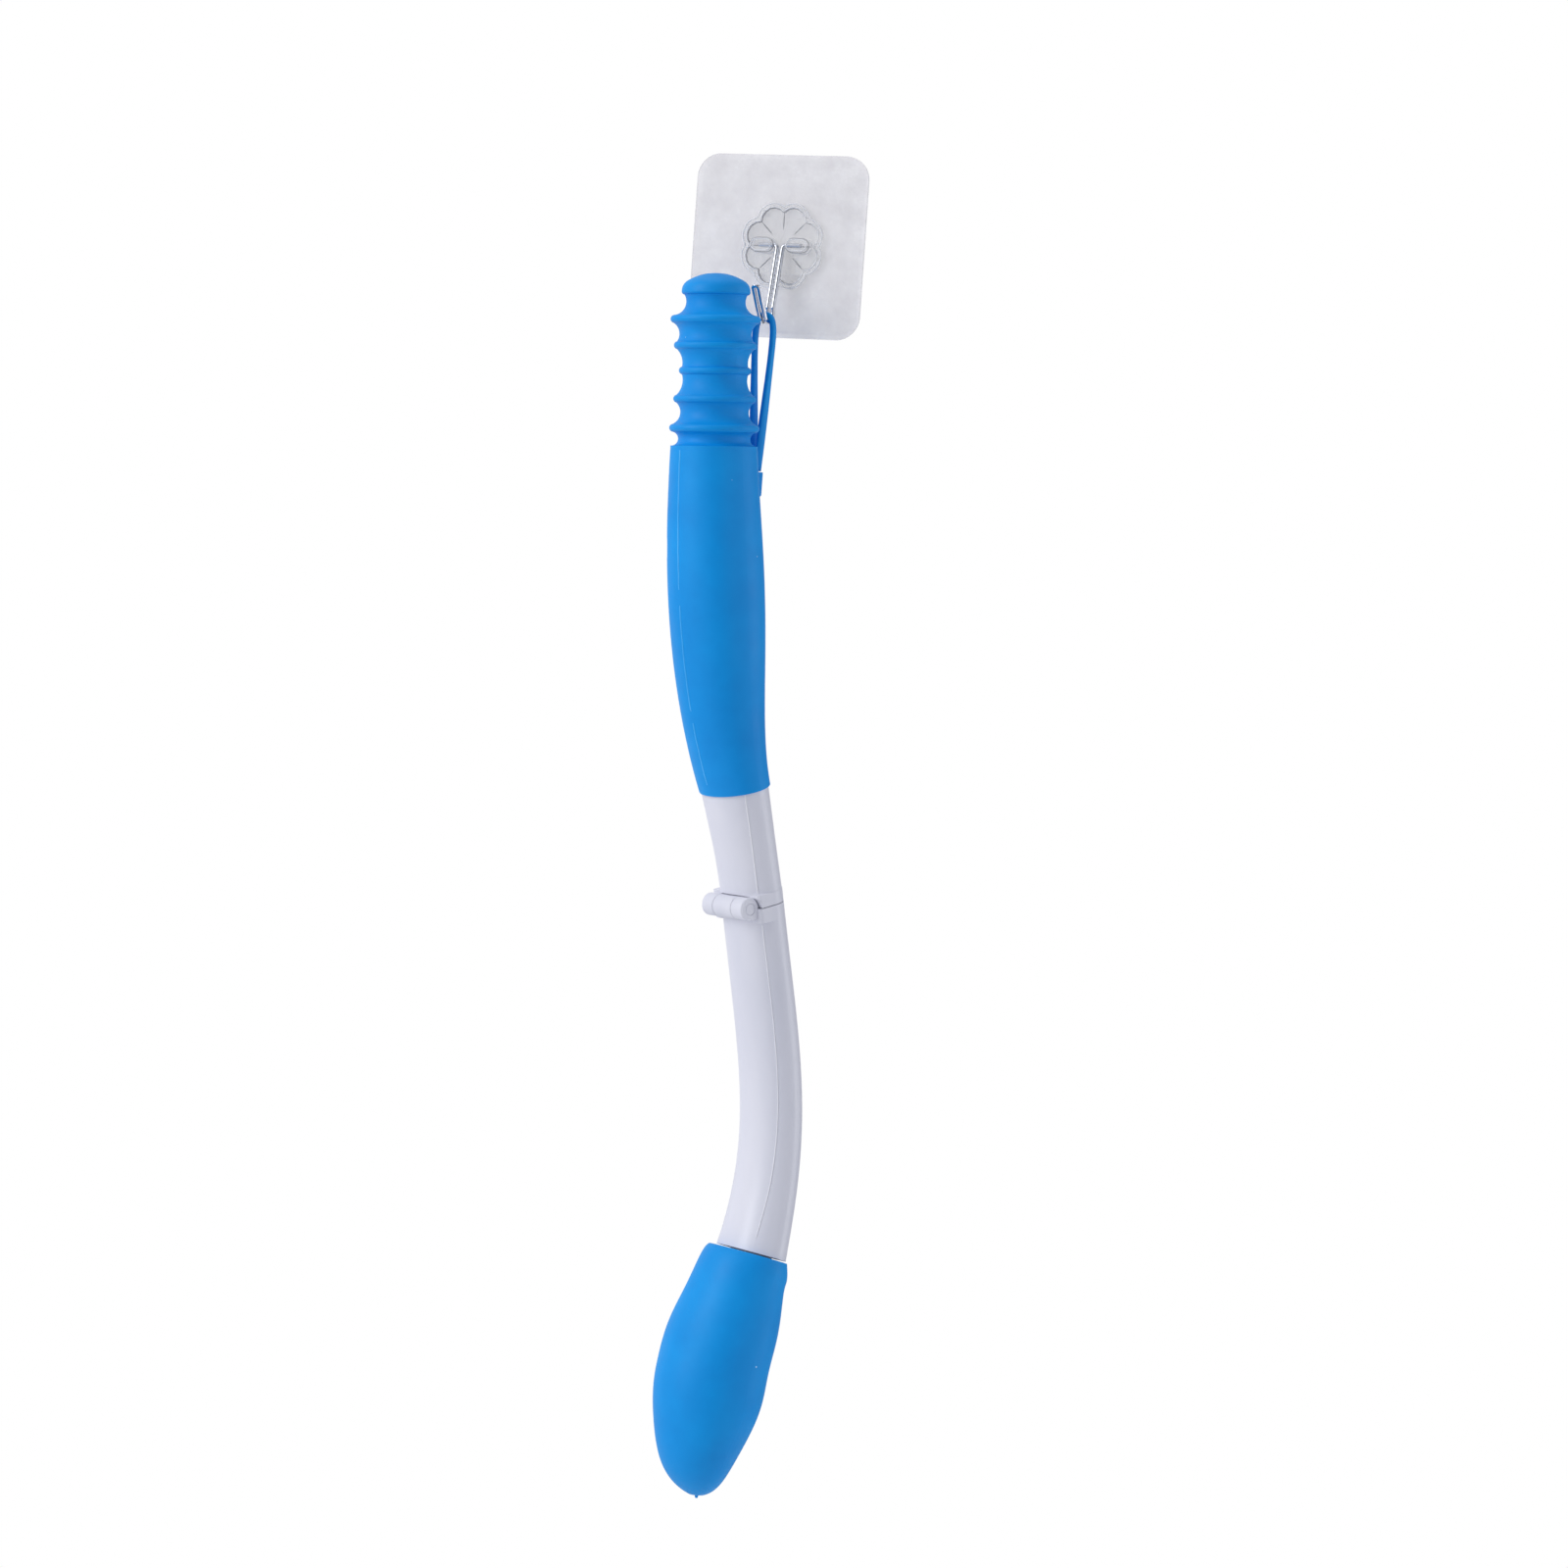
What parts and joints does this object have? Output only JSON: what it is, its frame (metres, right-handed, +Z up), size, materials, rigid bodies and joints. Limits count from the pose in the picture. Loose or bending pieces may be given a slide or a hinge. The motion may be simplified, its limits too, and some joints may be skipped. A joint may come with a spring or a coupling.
{
  "type": "folding toilet wiping aid",
  "caption": "Long-reach wiping aid with soft ribbed grip end, folding white arm and soft bulb head, hanging by a strap from a clear adhesive wall hook.",
  "frame": {"origin": "centre of the adhesive film's wall face, on the back of the hook plate", "axes": "+Y into the wall, +Z up, +X to the right as seen from the room"},
  "size_m": [0.06, 0.0657, 0.4441],
  "materials": {
    "clear_plastic": "frosted clear moulding",
    "boss_plastic": "clear moulding, glossy",
    "adhesive": "clear acrylic foam film",
    "chrome_wire": "bright plated wire",
    "soft_blue": "satin thermoplastic elastomer",
    "white_plastic": "satin moulded ABS",
    "steel_pin": "turned steel"
  },
  "bodies": {
    "wall_plate": {"adhesive_film": "adhesive", "hook_plate": "clear_plastic", "flower_boss": "boss_plastic"},
    "hook": {"wire_hook": "chrome_wire"},
    "strap": {"strap_loop": "soft_blue"},
    "handle": {"ribbed_tip": "soft_blue", "tip_spigot": "white_plastic", "grip_sleeve": "soft_blue", "strap_lug": "soft_blue", "upper_front_shell": "white_plastic", "upper_rear_shell": "white_plastic", "upper_hinge_block": "white_plastic", "hinge_pin": "steel_pin"},
    "lower_arm": {"lower_hinge_block": "white_plastic", "pin_cap": "white_plastic", "lock_tongue": "white_plastic", "lower_front_shell": "white_plastic", "lower_rear_shell": "white_plastic", "head_spigot": "white_plastic", "soft_head": "soft_blue"}
  },
  "joints": [
    {"name": "hook_swing", "type": "hinge", "parent": "wall_plate", "child": "hook", "pos_m": [0.002, -0.0045, 0], "axis": [-1, 0, 0], "range_deg": [0, 75]},
    {"name": "strap_lift_off", "type": "slide", "parent": "hook", "child": "strap", "axis": [0, -0.6428, 0.766], "range_m": [0, 0.02]},
    {"name": "aid_twist", "type": "hinge", "parent": "strap", "child": "handle", "pos_m": [0.002, -0.01368, -0.075], "axis": [0, 0, 1], "range_deg": [-40, 0]},
    {"name": "fold", "type": "hinge", "parent": "handle", "child": "lower_arm", "pos_m": [0.00297, -0.01194, -0.21759], "axis": [-0.8746, 0.4848, 0], "range_deg": [0, 158]}
  ]
}
